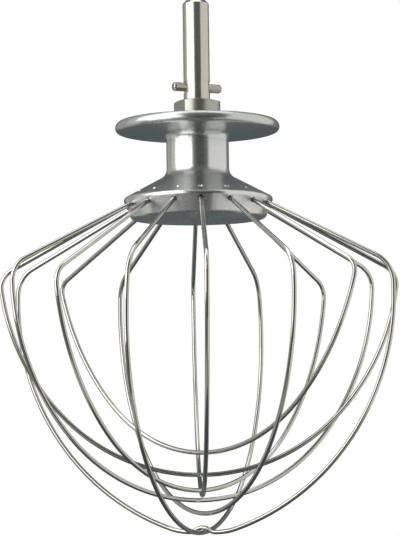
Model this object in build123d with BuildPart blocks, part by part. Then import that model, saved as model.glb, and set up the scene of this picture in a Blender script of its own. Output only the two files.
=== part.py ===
"""Stand mixer wire whisk: a drive shaft with a cross pin, a turned hub and eight wire loops.

Millimetres, +Z up along the axis. Z = 0 is where the shaft's plain drive length begins, above the cross pin.
"""

import os
from math import cos, radians, sin, sqrt, tan

from build123d import *

# Shaft
SHAFT_DIAMETER = 9.525
DRIVE_LENGTH = 28.5  # plain length that enters the mixer's socket
SHAFT_CHAMFER = 1.3
RELIEF_MARGIN = 0.5  # the shallow band turned round the cross hole reaches this far above and below the pin
RELIEF_DEPTH = 0.2
COLLAR_DIAMETER = 17.0
COLLAR_HEIGHT = 7.95
COLLAR_FLATS = 14.0  # across the two flats that face along the cross pin
COLLAR_LAND = 0.4  # level ring on its top, round the shaft
COLLAR_CHAMFER = 0.9  # fall of its top from the land to its side
COLLAR_DROP = 2.35  # from the relief down to the collar
SPIGOT_DIAMETER = 8.0
SPIGOT_LENGTH = 20.0
BORE_CLEARANCE = 0.02
BORE_SPARE = 0.6  # left open below the spigot

# Cross pin
PIN_DIAMETER = 3.175
PIN_LENGTH = 19.05
PIN_EDGE_RADIUS = 0.9
PIN_CLEARANCE = 0.02
PIN_ANGLE = 22.5  # round the axis from +X

# Hub
DISC_DIAMETER = 59.2
DISC_THICKNESS = 3.85
DISC_TOP_RADIUS = 2.15
DISC_UNDERSIDE_RADIUS = 1.65
DISC_UNDERSIDE_ANGLE = 3.0  # fall of the underside towards the neck
NECK_DIAMETER = 22.5
NECK_LENGTH = 14.6  # from the disc's underside to the head, before the fillets
NECK_TOP_FILLET = 2.3
NECK_BASE_FILLET = 4.0
RIM_DIAMETER = 54.2
RIM_CORNER_RADIUS = 1.3
RIM_BASE_RADIUS = 1.6
CONE_ANGLE = 28.2  # fall of the head's upper face towards the rim
BAND_TAPER = 22.5  # the head's side draws in below the rim

# Wire holes in the head's side, and the punched marks above them that close on the wires
HOLE_DROP = 2.45  # from the rim's corner down to a hole's mouth
HOLE_LIFT = 4.9  # from the hub's base up to a hole's mouth
HOLE_DEPTH = 9.0
HOLE_CLEARANCE = 0.2
MARK_INSET = 3.9  # inwards from the rim's corner
MARK_RADIUS = 1.1
MARK_DEPTH = 0.5

# Wire loops
WIRE_DIAMETER = 1.6
CORNER_RADIUS = 71.4  # where a leg's line meets its flank's line
BEND_RADIUS = 10.0
CROSSING_GAP = 0.15  # between two wires that cross on the axis
FIRST_LOOP_ANGLE = -90.0  # round the axis from +X

# Loops in turn round the axis, each bent a little differently
LOOP_TURNS = (-0.6, 0.5, 0.3, -0.5, -0.8, 0.2, 0.1, 1.1)  # off an even spacing
LEG_ANGLES = (28.0, 27.5, 28.9, 27.2, 28.9, 26.7, 30.5, 26.8)  # fall of the straight legs from the hub
FLANK_LEANS = (5.0, -2.5, 16.5, -2.2, 7.5, 2.2, 7.8, -10.9)  # below the bends, inwards from upright

# Loops from the shallowest foot to the deepest, then the one that reaches as low and steps over that foot
FOOT_ORDER = (2, 4, 6, 0, 5, 1, 7, 3)
FIRST_FOOT_DEPTH = 83.5  # from the hub's base to the shallowest foot
FOOT_SPARE = (6.15, 3.7, 0.0, 0.0, 2.9, 5.05)  # room between feet, beyond that of two wires that cross
STEP_HALF_LENGTH = 4.9
STEP_LIFT = 0.2  # its foot stays this far above the deepest one
STEP_FLANK_REACH = 2.0  # its flank's arc runs on past the usual joint, and its foot's arc is tighter

# Radii, slopes and directions
SHAFT_RADIUS = SHAFT_DIAMETER / 2
COLLAR_RADIUS = COLLAR_DIAMETER / 2
SPIGOT_RADIUS = SPIGOT_DIAMETER / 2
PIN_RADIUS = PIN_DIAMETER / 2
DISC_RADIUS = DISC_DIAMETER / 2
NECK_RADIUS = NECK_DIAMETER / 2
RIM_RADIUS = RIM_DIAMETER / 2
WIRE_RADIUS = WIRE_DIAMETER / 2
UNDERSIDE_SLOPE = tan(radians(DISC_UNDERSIDE_ANGLE))
CONE_SLOPE = tan(radians(CONE_ANGLE))
BAND_SLOPE = tan(radians(BAND_TAPER))
PIN_AXIS = Vector(cos(radians(PIN_ANGLE)), sin(radians(PIN_ANGLE)), 0)
LOOP_COUNT = len(FLANK_LEANS)
LOOP_STEP = 180 / LOOP_COUNT

# Heights along the axis
SHAFT_TOP = DRIVE_LENGTH + SHAFT_CHAMFER
PIN_HEIGHT = -RELIEF_MARGIN - PIN_RADIUS
RELIEF_BASE = PIN_HEIGHT - PIN_RADIUS - RELIEF_MARGIN
COLLAR_TOP = RELIEF_BASE - COLLAR_DROP
DISC_TOP = COLLAR_TOP - COLLAR_HEIGHT
DISC_BASE = DISC_TOP - DISC_THICKNESS
NECK_TOP = DISC_BASE - (DISC_RADIUS - NECK_RADIUS) * UNDERSIDE_SLOPE
NECK_BASE = NECK_TOP - NECK_LENGTH
RIM_HEIGHT = NECK_BASE - (RIM_RADIUS - NECK_RADIUS) * CONE_SLOPE
HOLE_HEIGHT = RIM_HEIGHT - HOLE_DROP
HUB_BASE = HOLE_HEIGHT - HOLE_LIFT

# Middle of a wire hole's mouth and of a punched mark, as radius and height
HOLE_MOUTH = Vector(RIM_RADIUS - HOLE_DROP * BAND_SLOPE, HOLE_HEIGHT)
MARK = Vector(RIM_RADIUS - MARK_INSET, RIM_HEIGHT + MARK_INSET * CONE_SLOPE)
CONE_NORMAL = Vector(sin(radians(CONE_ANGLE)), cos(radians(CONE_ANGLE)))


def loop_plane(index):
    """Plane of one loop: X runs outwards from the axis and Y runs up."""
    angle = radians(FIRST_LOOP_ANGLE + index * LOOP_STEP + LOOP_TURNS[index])
    return Plane(origin=(0, 0, 0), x_dir=(cos(angle), sin(angle), 0), z_dir=(sin(angle), -cos(angle), 0))


def leg_heading(index):
    """Direction of a loop's legs as they leave the hub, as radius and height."""
    fall = radians(LEG_ANGLES[index])
    return Vector(cos(fall), -sin(fall))


def hole_floor(index):
    """Middle of the floor of a loop's wire holes, as radius and height."""
    return HOLE_MOUTH - leg_heading(index) * HOLE_DEPTH


def exit_heading(heading, start, end):
    """Heading at the end of an arc that leaves its start along the given heading."""
    chord = (end - start).normalized()
    return chord * (2 * chord.dot(heading)) - heading


def arc_joint(start, start_heading, end, end_heading, first_reach):
    """Point where two tangent arcs from start to end meet.

    Their control handles are of equal length at a first reach of 1; above 1, the first arc runs further.
    """
    gap = end - start
    along = gap.dot(start_heading + end_heading)
    turn = 1 - start_heading.dot(end_heading)
    equal = (sqrt(along**2 + 2 * turn * gap.dot(gap)) - along) / (2 * turn)
    first = equal * first_reach
    second = (gap.dot(gap) / 2 - first * gap.dot(start_heading)) / (gap.dot(end_heading) + first * turn)
    first_end = start + start_heading * first
    second_end = end - end_heading * second
    return (first_end * second + second_end * first) / (first + second)


def half_loop(index, foot_height, crest_height):
    """Points where the arcs of half a loop meet: bend, flank, foot and, on the stepped loop, crest."""
    inwards = Vector(-1, 0)
    leg = leg_heading(index)
    lean = radians(FLANK_LEANS[index])
    flank_heading = Vector(-sin(lean), -cos(lean))
    corner = HOLE_MOUTH + leg * ((CORNER_RADIUS - HOLE_MOUTH.X) / leg.X)
    bend_reach = BEND_RADIUS * tan(radians(90 - FLANK_LEANS[index] - LEG_ANGLES[index]) / 2)
    bend_start = corner - leg * bend_reach
    bend_end = corner + flank_heading * bend_reach
    if crest_height is None:
        foot = Vector(0, foot_height)
        joint = arc_joint(bend_end, flank_heading, foot, inwards, 1)
        return [bend_start, bend_end, joint, foot]
    foot = Vector(STEP_HALF_LENGTH, foot_height)
    crest = Vector(0, crest_height)
    joint = arc_joint(bend_end, flank_heading, foot, inwards, STEP_FLANK_REACH)
    return [bend_start, bend_end, joint, foot, (foot + crest) / 2, crest]


def wire_loop(index, foot_height, crest_height=None):
    """One wire bent to a loop, with both ends on the floors of their holes."""
    plane = loop_plane(index)
    across = Plane(origin=(0, 0, 0), z_dir=plane.x_dir)
    points = half_loop(index, foot_height, crest_height)
    wire_end = hole_floor(index)
    wire_heading = leg_heading(index)
    with BuildPart() as loop:
        with BuildLine(plane) as path:
            Line((wire_end.X, wire_end.Y), (points[0].X, points[0].Y))
            heading = wire_heading
            for start, end in zip(points, points[1:]):
                TangentArc((start.X, start.Y), (end.X, end.Y), tangent=(heading.X, heading.Y))
                heading = exit_heading(heading, start, end)
            mirror(about=across)
        end = plane.from_local_coords((wire_end.X, wire_end.Y))
        end_heading = plane.from_local_coords((wire_heading.X, wire_heading.Y))
        with BuildSketch(Plane(origin=end, z_dir=end_heading)):
            Circle(WIRE_RADIUS)
        sweep(path=path.wires()[0])
    loop.part.label = f"wire_loop_{index + 1}"
    return loop.part


# Shaft, turned in one piece with its collar and spigot, then drilled for the pin and milled flat on two sides
with BuildPart() as shaft:
    with BuildSketch(Plane.XZ):
        with BuildLine():
            Polyline(
                (0, SHAFT_TOP),
                (SHAFT_RADIUS - SHAFT_CHAMFER, SHAFT_TOP),
                (SHAFT_RADIUS, DRIVE_LENGTH),
                (SHAFT_RADIUS, 0),
                (SHAFT_RADIUS - RELIEF_DEPTH, 0),
                (SHAFT_RADIUS - RELIEF_DEPTH, RELIEF_BASE),
                (SHAFT_RADIUS, RELIEF_BASE),
                (SHAFT_RADIUS, COLLAR_TOP),
                (SHAFT_RADIUS + COLLAR_LAND, COLLAR_TOP),
                (COLLAR_RADIUS, COLLAR_TOP - COLLAR_CHAMFER),
                (COLLAR_RADIUS, DISC_TOP),
                (SPIGOT_RADIUS, DISC_TOP),
                (SPIGOT_RADIUS, DISC_TOP - SPIGOT_LENGTH),
                (0, DISC_TOP - SPIGOT_LENGTH),
                close=True,
            )
        make_face()
    revolve(axis=Axis.Z)
    with BuildSketch(Plane(origin=(0, 0, PIN_HEIGHT), z_dir=PIN_AXIS)):
        Circle(PIN_RADIUS + PIN_CLEARANCE)
    extrude(amount=SHAFT_DIAMETER, both=True, mode=Mode.SUBTRACT)
    with BuildSketch(Plane.XY.offset(DISC_TOP)):
        with PolarLocations((COLLAR_FLATS + COLLAR_DIAMETER) / 2, 2, start_angle=PIN_ANGLE):
            Rectangle(COLLAR_DIAMETER, 2 * COLLAR_DIAMETER)
    extrude(amount=COLLAR_HEIGHT, mode=Mode.SUBTRACT)
shaft.part.label = "shaft"

# Cross pin, with its ends rounded over
with BuildPart() as cross_pin:
    with BuildSketch(Plane(origin=(0, 0, PIN_HEIGHT), z_dir=PIN_AXIS)):
        Circle(PIN_RADIUS)
    extrude(amount=PIN_LENGTH / 2, both=True)
    pin_ends = cross_pin.faces().filter_by(GeomType.PLANE)
    fillet(pin_ends.edges(), radius=min(PIN_EDGE_RADIUS, 0.9 * PIN_RADIUS))
cross_pin.part.label = "cross_pin"

# Hub, turned with fillets that fit their walls, then bored for the shaft, drilled for the wires and punched
with BuildPart() as hub:
    overhang = DISC_RADIUS - NECK_RADIUS
    shoulder = RIM_RADIUS - NECK_RADIUS
    with BuildSketch(Plane.XZ):
        with BuildLine():
            FilletPolyline(
                (0, DISC_TOP),
                (DISC_RADIUS, DISC_TOP),
                (DISC_RADIUS, DISC_BASE),
                (NECK_RADIUS, NECK_TOP),
                (NECK_RADIUS, NECK_BASE),
                (RIM_RADIUS, RIM_HEIGHT),
                (RIM_RADIUS - (HOLE_DROP + HOLE_LIFT) * BAND_SLOPE, HUB_BASE),
                (0, HUB_BASE),
                radius=[
                    min(DISC_TOP_RADIUS, 0.56 * DISC_THICKNESS),
                    min(DISC_UNDERSIDE_RADIUS, 0.43 * DISC_THICKNESS, 0.4 * overhang),
                    min(NECK_TOP_FILLET, 0.5 * NECK_LENGTH, 0.5 * overhang),
                    min(NECK_BASE_FILLET, 0.5 * NECK_LENGTH, 0.6 * shoulder),
                    min(RIM_CORNER_RADIUS, 0.4 * shoulder),
                    RIM_BASE_RADIUS,
                ],
            )
            Line((0, HUB_BASE), (0, DISC_TOP))
        make_face()
    revolve(axis=Axis.Z)
    with BuildSketch(Plane.XY.offset(DISC_TOP)):
        Circle(SPIGOT_RADIUS + BORE_CLEARANCE)
    extrude(amount=-(SPIGOT_LENGTH + BORE_SPARE), mode=Mode.SUBTRACT)
    mark_centre = MARK + CONE_NORMAL * (MARK_RADIUS - MARK_DEPTH)
    for index in range(LOOP_COUNT):
        plane = loop_plane(index)
        floor = hole_floor(index)
        heading = leg_heading(index)
        drill_tip = plane.from_local_coords((floor.X, floor.Y))
        drilling = plane.from_local_coords((heading.X, heading.Y))
        with PolarLocations(0, 2):
            with Locations(Plane(origin=drill_tip, z_dir=drilling)):
                Cylinder(
                    WIRE_RADIUS + HOLE_CLEARANCE,
                    2 * HOLE_DEPTH,
                    align=(Align.CENTER, Align.CENTER, Align.MIN),
                    mode=Mode.SUBTRACT,
                )
            with Locations(plane.from_local_coords((mark_centre.X, mark_centre.Y))):
                Sphere(MARK_RADIUS, mode=Mode.SUBTRACT)
hub.part.label = "hub"

# Wire loops: each crosses below the one before it, and the last steps over the deepest
crossing = WIRE_DIAMETER + CROSSING_GAP
foot_height = HUB_BASE - FIRST_FOOT_DEPTH
first_place, *lower_places, stepped_place = FOOT_ORDER
loops = [wire_loop(first_place, foot_height)]
for place, spare in zip(lower_places, FOOT_SPARE):
    foot_height -= crossing + spare
    loops.append(wire_loop(place, foot_height))
loops.append(wire_loop(stepped_place, foot_height + STEP_LIFT, foot_height + crossing))

os.makedirs("parts", exist_ok=True)
for piece in [shaft.part, cross_pin.part, hub.part] + loops:
    export_step(piece, f"parts/{piece.label}.step")
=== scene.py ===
"""Stand mixer wire whisk: the finish of each piece, the studio and the camera. Metres, +Z up."""

import math

import bpy
from mathutils import Matrix, Vector

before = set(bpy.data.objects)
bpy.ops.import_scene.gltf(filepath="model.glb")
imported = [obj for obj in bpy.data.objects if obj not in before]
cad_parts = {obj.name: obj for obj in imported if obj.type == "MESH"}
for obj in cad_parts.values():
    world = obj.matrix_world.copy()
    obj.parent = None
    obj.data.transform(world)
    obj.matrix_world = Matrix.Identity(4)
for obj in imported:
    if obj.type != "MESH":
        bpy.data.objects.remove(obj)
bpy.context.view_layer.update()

# Camera, found from the photograph
PHOTO_WIDTH = 400
PHOTO_HEIGHT = 536
FOCAL_PIXELS = 2081.0
AIM_PIXEL_X = 199.2
AIM_HEIGHT = -0.0673  # on the whisk's axis
CAMERA_DISTANCE = 0.746
CAMERA_ELEVATION = -4.4  # the camera stands low and looks up
CAMERA_AZIMUTH = -2.6  # from -Y towards -X
CAMERA_ROLL = -0.78
SENSOR_SIZE = 36.0  # along the frame's long side
NEAR_CLIP = 0.01

# World, floor and lamp
WORLD_COLOUR = (1, 1, 1, 1)
WORLD_WHITE = 1.0  # strength where the world is seen or mirrored
WORLD_FILL = 0.85  # strength of the light that it gives
FLOOR_HEIGHT = -0.30
FLOOR_RADIUS = 2.2
FLOOR_STEP = 2  # degrees
FLOOR_COLOUR = (0.9, 0.9, 0.89, 1)
LAMP_SIZE = 0.9
LAMP_POWER = 7.0  # watts
LAMP_PLACE = (-0.35, -0.2, 1.1)
LAMP_AIM = (0, 0, -0.1)

# Panels round the whisk: their colours
WHITE = (1.0, 1.0, 0.98)
WARM = (1.0, 0.99, 0.95)
MOSS = (0.97, 1.0, 0.92)
SLATE = (0.78, 0.95, 1.0)

# Panels: radii, and degrees between their corners
PANEL_RADIUS = 0.30
GROUND_RADIUS = 0.17  # of the dim ground straight below the whisk
FRONT_CEILING_RADIUS = 0.06  # where the front of the ceiling starts
STRIP_STEP = 2.0
ROUND_STEP = 5

# Panels: heights where they meet
PANEL_BASE = -0.28
LOW_CARD_TOP = -0.19
SILL_TOP = -0.13
WINDOW_BASE = -0.03
FRONT_TOP = 0.03
WINDOW_HEAD = 0.11
CARD_TOP = 0.13
PANEL_TOP = 0.60
FRONT_CEILING_DROP = 0.01  # from the rest of the ceiling

# Panels: bearings where they meet, in degrees from the camera to the right
WINDOW_START = -88
FOOT_START = -70
FOOT_END = -36
HEAD_END = -32
LIT_GROUND_END = -28
FRONT_CEILING_START = -24
WINDOW_END = -20
WINDOW_EDGE_END = -13
FRONT_START = -4
FRONT_END = 24
CARD_EDGE_START = 36
CARD_START = 40
HIGH_CARD_START = 48
CARD_END = 130
BACK_START = 150
BACK_END = 210
SIDE_START = 250
SIDE_END = WINDOW_START + 360

# Grain of turned and ground metal: rings round the axis, mixed with streaks along them
GRAIN_DETAIL = 3.0
RING_BREAKUP = 0.65  # roughness of the rings' noise
STREAK_BREAKUP = 0.6  # roughness of the streaks' noise
STREAK_SHARE = 0.5
GRAIN_HEIGHT = 1e-5
PROFILE_FALL = 0.8  # height counts this much beside radius, along a turned profile
BLUR_TURN = 0.25  # of a full turn, so that reflections blur across the rings
TINT_ENDS = (0.25, 0.75)  # values of a noise at its dark and its light colour

# Finishes: dark and light colour of the grain, its least and most roughness, rings per metre, streaks
# per radian, strength of its relief, and how much reflections blur across the rings.
# A satin finish starts at one height and is full at another: down from the collar's top on the shaft,
# and up from the neck to the disc on the hub. It is rougher, and its colour carries a painted shade
# that dims the reflections there.
GROUND_STEEL = {
    "dark": (0.60, 0.58, 0.51),
    "light": (0.68, 0.66, 0.59),
    "roughness": (0.16, 0.26),
    "rings": 2600.0,
    "streaks": 8.0,
    "relief": 0.2,
    "blur": 0.4,
    "satin_with_painted_shading": {
        "heights": (-0.0064, -0.0066),
        "roughness": (0.30, 0.38),
        # painted shade, which dims the collar's reflections
        "painted_shade": (0.73, 0.76, 0.77, 1),
    },
}
PIN_STEEL = {
    "dark": (0.39, 0.38, 0.33),
    "light": (0.49, 0.48, 0.42),
    "roughness": (0.10, 0.20),
    "rings": 1800.0,
    "streaks": 8.0,
    "relief": 0.2,
    "blur": 0.0,
}
TURNED_ALUMINIUM = {
    "dark": (0.72, 0.73, 0.72),
    "light": (0.82, 0.83, 0.82),
    "roughness": (0.21, 0.31),
    "rings": 2200.0,
    "streaks": 10.0,
    "relief": 0.35,
    "blur": 0.8,
    "satin_with_painted_shading": {
        "heights": (-0.0225, -0.0195),
        "roughness": (0.23, 0.33),
        # painted shade, which dims the disc's reflections
        "painted_shade": (0.84, 0.86, 0.86, 1),
    },
}

# Finish of the wires: die lines per metre across the wire, mixed with haze
WIRE_DARK = (0.60, 0.59, 0.54)
WIRE_LIGHT = (0.68, 0.67, 0.62)
WIRE_ROUGHNESS = (0.06, 0.13)
DIE_LINES = 3000.0
DIE_LINE_DETAIL = 1.0
HAZE_SCALE = 60.0
HAZE_DETAIL = 2.0
HAZE_SHARE = 0.7
SEED_STEP = 0.1  # keeps the die lines of one loop unlike those of the next

# Loops, as they lie round the axis
LOOP_COUNT = 8
FIRST_LOOP_ANGLE = -90.0  # from +X
LOOP_STEP = 180 / LOOP_COUNT
LOOP_TURNS = (-0.6, 0.5, 0.3, -0.5, -0.8, 0.2, 0.1, 1.1)  # off an even spacing, in degrees


def add_node(tree, kind, inputs=None, **settings):
    """Adds a node, with its settings, and gives its inputs constants or other nodes' outputs."""
    made = tree.nodes.new(kind)
    for name, value in settings.items():
        setattr(made, name, value)
    for name, value in (inputs or {}).items():
        if isinstance(value, bpy.types.NodeSocket):
            tree.links.new(value, made.inputs[name])
        else:
            made.inputs[name].default_value = value
    return made


def empty_tree(owner):
    """Node tree of a material or world, with nothing in it."""
    owner.use_nodes = True
    owner.node_tree.nodes.clear()
    return owner.node_tree


def calculate(tree, operation, first, second):
    """Output of one sum on two values."""
    return add_node(tree, "ShaderNodeMath", {0: first, 1: second}, operation=operation).outputs["Value"]


def spread(tree, value, low, high):
    """A value from 0 to 1, stretched to run from low to high."""
    made = add_node(tree, "ShaderNodeMapRange", {"Value": value, "To Min": low, "To Max": high})
    return made.outputs["Result"]


def blend(tree, share, first, second):
    """Value between first and second: all second at a share of 1."""
    mix = add_node(tree, "ShaderNodeMix", {"Factor": share, "A": first, "B": second}, data_type="FLOAT")
    return mix.outputs["Result"]


def painted_shade(tree, share, colour, dark):
    """Painted shade: colour multiplied towards a darker one by a share from 0 to 1."""
    inputs = {"Fac": share, "Color1": colour, "Color2": dark}
    return add_node(tree, "ShaderNodeMixRGB", inputs, blend_type="MULTIPLY").outputs["Color"]


def tint(tree, value, dark, light):
    """Colour between dark and light by a value from 0 to 1."""
    ramp = add_node(tree, "ShaderNodeValToRGB", {"Fac": value})
    for element, position, colour in zip(ramp.color_ramp.elements, TINT_ENDS, (dark, light)):
        element.position = position
        element.color = (*colour, 1)
    return ramp.outputs["Color"]


def turned_place(tree):
    """Angle of a point round the axis, a distance that grows outwards and down, and its height."""
    place = add_node(tree, "ShaderNodeTexCoord").outputs["Object"]
    axes = add_node(tree, "ShaderNodeSeparateXYZ", {"Vector": place}).outputs
    angle = calculate(tree, "ARCTAN2", axes["X"], calculate(tree, "MULTIPLY", axes["Y"], -1.0))
    flat = add_node(tree, "ShaderNodeCombineXYZ", {"X": axes["X"], "Y": axes["Y"]}).outputs["Vector"]
    radius = add_node(tree, "ShaderNodeVectorMath", {0: flat}, operation="LENGTH").outputs["Value"]
    fall = calculate(tree, "MULTIPLY", axes["Z"], -PROFILE_FALL)
    return angle, calculate(tree, "ADD", radius, fall), axes["Z"]


def add_satin_with_painted_shading(tree, satin_with_painted_shading, height, grain, colour, roughness):
    """Colour and roughness of a finish that turns to satin between two heights, its colour darkened
    there by a painted shade.
    """
    start, full = satin_with_painted_shading["heights"]
    share = add_node(
        tree,
        "ShaderNodeMapRange",
        {"Value": height, "From Min": start, "From Max": full},
    ).outputs["Result"]
    dull = spread(tree, grain, *satin_with_painted_shading["roughness"])
    # the satin zone's colour is darkened by a painted shade
    return painted_shade(tree, share, colour, satin_with_painted_shading["painted_shade"]), blend(tree, share, roughness, dull)


def turned_metal(name, look):
    """Metal turned or ground round the axis, with fine rings and streaks."""
    material = bpy.data.materials.new(name)
    tree = empty_tree(material)
    angle, distance, height = turned_place(tree)
    rings = add_node(
        tree,
        "ShaderNodeTexNoise",
        {"W": distance, "Scale": look["rings"], "Detail": GRAIN_DETAIL, "Roughness": RING_BREAKUP},
        noise_dimensions="1D",
    ).outputs["Fac"]
    along = calculate(tree, "MULTIPLY", distance, look["rings"])
    around = calculate(tree, "MULTIPLY", angle, look["streaks"])
    streak_place = add_node(tree, "ShaderNodeCombineXYZ", {"X": around, "Y": along}).outputs["Vector"]
    streaks = add_node(
        tree,
        "ShaderNodeTexNoise",
        {"Vector": streak_place, "Scale": 1.0, "Detail": GRAIN_DETAIL, "Roughness": STREAK_BREAKUP},
        noise_dimensions="2D",
    ).outputs["Fac"]
    grain = blend(tree, STREAK_SHARE, rings, streaks)
    colour = tint(tree, grain, look["dark"], look["light"])
    roughness = spread(tree, grain, *look["roughness"])
    if "satin_with_painted_shading" in look:
        colour, roughness = add_satin_with_painted_shading(tree, look["satin_with_painted_shading"], height, grain, colour, roughness)
    bump = add_node(
        tree,
        "ShaderNodeBump",
        {"Height": grain, "Strength": look["relief"], "Distance": GRAIN_HEIGHT},
    )
    tangent = add_node(tree, "ShaderNodeTangent", direction_type="RADIAL", axis="Z")
    shader = add_node(
        tree,
        "ShaderNodeBsdfPrincipled",
        {
            "Base Color": colour,
            "Metallic": 1.0,
            "Roughness": roughness,
            "Anisotropic": look["blur"],
            "Anisotropic Rotation": BLUR_TURN,
            "Tangent": tangent.outputs["Tangent"],
            "Normal": bump.outputs["Normal"],
        },
    )
    add_node(tree, "ShaderNodeOutputMaterial", {"Surface": shader.outputs["BSDF"]})
    return material


def drawn_wire(name, plane_normal, seed):
    """Bright drawn steel wire, with faint die lines along it and a little haze."""
    material = bpy.data.materials.new(name)
    tree = empty_tree(material)
    place = add_node(tree, "ShaderNodeTexCoord").outputs["Object"]
    across = add_node(
        tree,
        "ShaderNodeVectorMath",
        {0: place, 1: plane_normal},
        operation="DOT_PRODUCT",
    ).outputs["Value"]
    lines = add_node(
        tree,
        "ShaderNodeTexNoise",
        {"W": calculate(tree, "ADD", across, seed), "Scale": DIE_LINES, "Detail": DIE_LINE_DETAIL},
        noise_dimensions="1D",
    ).outputs["Fac"]
    haze = add_node(
        tree,
        "ShaderNodeTexNoise",
        {"Vector": place, "Scale": HAZE_SCALE, "Detail": HAZE_DETAIL},
    ).outputs["Fac"]
    mottle = blend(tree, HAZE_SHARE, lines, haze)
    shader = add_node(
        tree,
        "ShaderNodeBsdfPrincipled",
        {
            "Base Color": tint(tree, mottle, WIRE_DARK, WIRE_LIGHT),
            "Metallic": 1.0,
            "Roughness": spread(tree, mottle, *WIRE_ROUGHNESS),
        },
    )
    add_node(tree, "ShaderNodeOutputMaterial", {"Surface": shader.outputs["BSDF"]})
    return material


def dress(node, material):
    """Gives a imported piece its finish."""
    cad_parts[node].data.materials.clear()
    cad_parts[node].data.materials.append(material)


def dress_whisk():
    """Finish of every piece of the whisk."""
    dress("shaft", turned_metal("ground_steel", GROUND_STEEL))
    dress("cross_pin", turned_metal("pin_steel", PIN_STEEL))
    dress("hub", turned_metal("turned_aluminium", TURNED_ALUMINIUM))
    for index in range(LOOP_COUNT):
        angle = math.radians(FIRST_LOOP_ANGLE + index * LOOP_STEP + LOOP_TURNS[index])
        normal = (-math.sin(angle), math.cos(angle), 0)
        finish = drawn_wire(f"drawn_wire_{index + 1}", normal, SEED_STEP * index)
        dress(f"wire_loop_{index + 1}", finish)


def glow(name, colour, strength):
    """Material of a soft panel."""
    material = bpy.data.materials.new(name)
    tree = empty_tree(material)
    light = add_node(tree, "ShaderNodeEmission", {"Color": (*colour, 1), "Strength": strength})
    add_node(tree, "ShaderNodeOutputMaterial", {"Surface": light.outputs["Emission"]})
    return material


def stage_mesh(name, corners, faces, material):
    """A piece of the studio, which isn't part of the whisk."""
    mesh = bpy.data.meshes.new(name)
    mesh.from_pydata(corners, [], faces)
    mesh.materials.append(material)
    made = bpy.data.objects.new(name, mesh)
    bpy.context.scene.collection.objects.link(made)
    return made


def only_in_reflections(panel):
    """Panels stand round the whisk and show in its metal, not in the picture's background."""
    panel.visible_camera = False
    panel.visible_diffuse = False
    panel.visible_shadow = False
    panel.visible_transmission = False


def outwards(bearing):
    """Level direction at a bearing in degrees from the camera, to the right."""
    turn = math.radians(CAMERA_AZIMUTH + bearing)
    return Vector((math.sin(turn), -math.cos(turn), 0))


def strip_panel(name, start, end, near, far, colour, strength):
    """Panel round the axis between two bearings, and between two (radius, height) places."""
    count = max(1, round((end - start) / STRIP_STEP))
    corners = []
    for i in range(count + 1):
        way = outwards(start + (end - start) * i / count)
        for radius, height in (near, far):
            corners.append(way * radius + Vector((0, 0, height)))
    faces = [(2 * i, 2 * i + 1, 2 * i + 3, 2 * i + 2) for i in range(count)]
    only_in_reflections(stage_mesh(name, corners, faces, glow(name, colour, strength)))


def curved_panel(name, start, end, low, high, colour, strength):
    """Upright panel round the whisk."""
    strip_panel(name, start, end, (PANEL_RADIUS, low), (PANEL_RADIUS, high), colour, strength)


def level_panel(name, start, end, radius, height, colour, strength):
    """Level panel from a radius out to the upright panels."""
    strip_panel(name, start, end, (radius, height), (PANEL_RADIUS, height), colour, strength)


def ground_panel(name, start, end, colour, strength):
    """Level panel on the ground round the whisk."""
    level_panel(name, start, end, GROUND_RADIUS, PANEL_BASE, colour, strength)


def round_panel(name, radius, height, colour, strength):
    """Level round panel over or under the whisk."""
    lift = Vector((0, 0, height))
    corners = [outwards(bearing) * radius + lift for bearing in range(0, 360, ROUND_STEP)]
    face = tuple(range(len(corners)))
    only_in_reflections(stage_mesh(name, corners, [face], glow(name, colour, strength)))


def build_window():
    """Bright window to the left, with a dim sill."""
    curved_panel("window_high", WINDOW_START, HEAD_END, WINDOW_HEAD, PANEL_TOP, WHITE, strength=2.0)
    curved_panel("window_corner", HEAD_END, WINDOW_END, WINDOW_HEAD, PANEL_TOP, WARM, strength=0.30)
    curved_panel("window", WINDOW_START, WINDOW_END, WINDOW_BASE, WINDOW_HEAD, WHITE, strength=2.3)
    curved_panel("foot_side", WINDOW_START, FOOT_START, SILL_TOP, WINDOW_BASE, WARM, strength=0.60)
    curved_panel("window_foot", FOOT_START, FOOT_END, SILL_TOP, WINDOW_BASE, WHITE, strength=2.2)
    curved_panel("foot_corner", FOOT_END, WINDOW_END, SILL_TOP, WINDOW_BASE, WARM, strength=0.70)
    curved_panel("window_sill", WINDOW_START, WINDOW_END, PANEL_BASE, SILL_TOP, WARM, strength=0.14)


def build_front():
    """Dim wall on the camera's side."""
    curved_panel("window_edge", WINDOW_END, WINDOW_EDGE_END, PANEL_BASE, PANEL_TOP, WARM, strength=0.26)
    curved_panel("front_left", WINDOW_EDGE_END, FRONT_START, PANEL_BASE, PANEL_TOP, MOSS, strength=0.13)
    curved_panel("front_wall", FRONT_START, FRONT_END, PANEL_BASE, FRONT_TOP, MOSS, strength=0.055)
    curved_panel("high_front", FRONT_START, FRONT_END, FRONT_TOP, PANEL_TOP, MOSS, strength=0.14)
    curved_panel("front_right", FRONT_END, CARD_EDGE_START, LOW_CARD_TOP, CARD_TOP, MOSS, strength=0.12)


def build_card():
    """Pale card to the right, which starts nearer to the camera at its foot."""
    curved_panel("card_edge", CARD_EDGE_START, CARD_START, LOW_CARD_TOP, CARD_TOP, WARM, strength=0.30)
    curved_panel("low_card", FRONT_END, CARD_START, PANEL_BASE, LOW_CARD_TOP, WARM, strength=1.0)
    curved_panel("high_right", FRONT_END, HIGH_CARD_START, CARD_TOP, PANEL_TOP, MOSS, strength=0.12)
    curved_panel("card_corner", CARD_START, HIGH_CARD_START, PANEL_BASE, CARD_TOP, WARM, strength=0.80)
    curved_panel("right_card", HIGH_CARD_START, CARD_END, PANEL_BASE, PANEL_TOP, WARM, strength=0.80)


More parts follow.
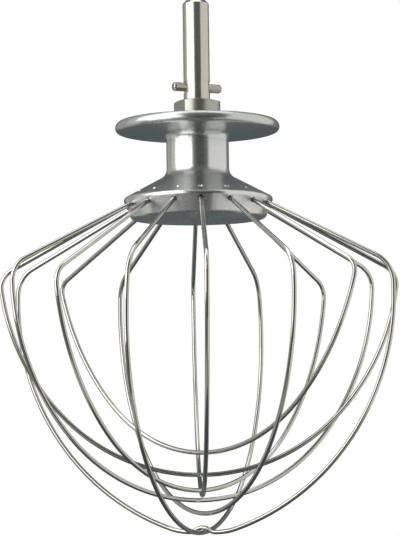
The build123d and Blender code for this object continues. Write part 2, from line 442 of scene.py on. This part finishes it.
def build_back():
    """Dim walls from the card round the back to the window."""
    curved_panel("right_wall", CARD_END, BACK_START, PANEL_BASE, PANEL_TOP, WARM, strength=0.20)
    curved_panel("back_wall", BACK_START, BACK_END, PANEL_BASE, PANEL_TOP, SLATE, strength=0.12)
    curved_panel("left_wall", BACK_END, SIDE_START, PANEL_BASE, PANEL_TOP, WARM, strength=0.40)
    curved_panel("window_side", SIDE_START, SIDE_END, PANEL_BASE, PANEL_TOP, WARM, strength=0.6)


def build_ceiling():
    """Bright ceiling, with a dimmer front that hangs just below it."""
    round_panel("ceiling", PANEL_RADIUS, PANEL_TOP, WHITE, strength=1.6)
    level_panel(
        "front_ceiling",
        FRONT_CEILING_START,
        HIGH_CARD_START,
        FRONT_CEILING_RADIUS,
        PANEL_TOP - FRONT_CEILING_DROP,
        MOSS,
        strength=0.70,
    )


def build_ground():
    """Dim ground below the whisk, lighter on the window's side."""
    round_panel("dim_ground", GROUND_RADIUS, PANEL_BASE, SLATE, strength=0.085)
    ground_panel("lit_ground", WINDOW_START, LIT_GROUND_END, WARM, strength=0.5)
    ground_panel("front_ground", LIT_GROUND_END, CARD_START, MOSS, strength=0.28)
    ground_panel("right_ground", CARD_START, BACK_START, MOSS, strength=0.30)
    ground_panel("back_ground", BACK_START, SIDE_END, SLATE, strength=0.12)


def build_world():
    """White wherever the world is seen or mirrored, and a plain level of light from all round."""
    world = bpy.data.worlds.new("studio")
    bpy.context.scene.world = world
    tree = empty_tree(world)
    path = add_node(tree, "ShaderNodeLightPath")
    seen = calculate(tree, "MAXIMUM", path.outputs["Is Camera Ray"], path.outputs["Is Glossy Ray"])
    seen = calculate(tree, "MAXIMUM", seen, path.outputs["Is Transmission Ray"])
    fill = add_node(tree, "ShaderNodeBackground", {"Color": WORLD_COLOUR, "Strength": WORLD_FILL})
    white = add_node(tree, "ShaderNodeBackground", {"Color": WORLD_COLOUR, "Strength": WORLD_WHITE})
    mix = add_node(
        tree,
        "ShaderNodeMixShader",
        {0: seen, 1: fill.outputs["Background"], 2: white.outputs["Background"]},
    )
    add_node(tree, "ShaderNodeOutputWorld", {"Surface": mix.outputs["Shader"]})


def build_floor():
    """Plain pale floor below the whisk, which hangs by its shaft."""
    material = bpy.data.materials.new("floor")
    tree = empty_tree(material)
    shader = add_node(tree, "ShaderNodeBsdfDiffuse", {"Color": FLOOR_COLOUR})
    add_node(tree, "ShaderNodeOutputMaterial", {"Surface": shader.outputs["BSDF"]})
    angles = [math.radians(degrees) for degrees in range(0, 360, FLOOR_STEP)]
    corners = [(FLOOR_RADIUS * math.cos(a), FLOOR_RADIUS * math.sin(a), FLOOR_HEIGHT) for a in angles]
    stage_mesh("floor", corners, [tuple(range(len(corners)))], material)


def build_lamp():
    """One soft lamp overhead, for the floor and the whisk's shadow."""
    light = bpy.data.lights.new("overhead", "AREA")
    light.shape = "DISK"
    light.size = LAMP_SIZE
    light.energy = LAMP_POWER
    lamp = bpy.data.objects.new("overhead", light)
    lamp.location = LAMP_PLACE
    lamp.rotation_euler = (Vector(LAMP_AIM) - lamp.location).to_track_quat("-Z", "Y").to_euler()
    lamp.visible_glossy = False
    bpy.context.scene.collection.objects.link(lamp)


def build_camera():
    """Camera at the photograph's place, with its roll."""
    azimuth = math.radians(CAMERA_AZIMUTH)
    elevation = math.radians(CAMERA_ELEVATION)
    roll = math.radians(CAMERA_ROLL)
    aim = Vector((0, 0, AIM_HEIGHT))
    back = Vector(
        (
            math.sin(azimuth) * math.cos(elevation),
            -math.cos(azimuth) * math.cos(elevation),
            math.sin(elevation),
        )
    )
    level_right = Vector((0, 0, 1)).cross(back).normalized()
    level_up = back.cross(level_right)
    right = level_right * math.cos(roll) + level_up * math.sin(roll)
    up = level_up * math.cos(roll) - level_right * math.sin(roll)
    lens = bpy.data.cameras.new("camera")
    lens.sensor_width = SENSOR_SIZE
    lens.lens = SENSOR_SIZE * FOCAL_PIXELS / PHOTO_HEIGHT
    lens.shift_x = (PHOTO_WIDTH / 2 - AIM_PIXEL_X) / PHOTO_HEIGHT
    lens.clip_start = NEAR_CLIP
    camera = bpy.data.objects.new("camera", lens)
    turn = Matrix((right, up, back)).transposed().to_4x4()
    camera.matrix_world = Matrix.Translation(aim + back * CAMERA_DISTANCE) @ turn
    bpy.context.scene.collection.objects.link(camera)
    bpy.context.scene.camera = camera


dress_whisk()

# Soft panels that the metal mirrors, where a strength of 1 is white
build_window()
build_front()
build_card()
build_back()
build_ceiling()
build_ground()

build_world()
build_floor()
build_lamp()
build_camera()
bpy.context.scene.view_settings.view_transform = "Standard"
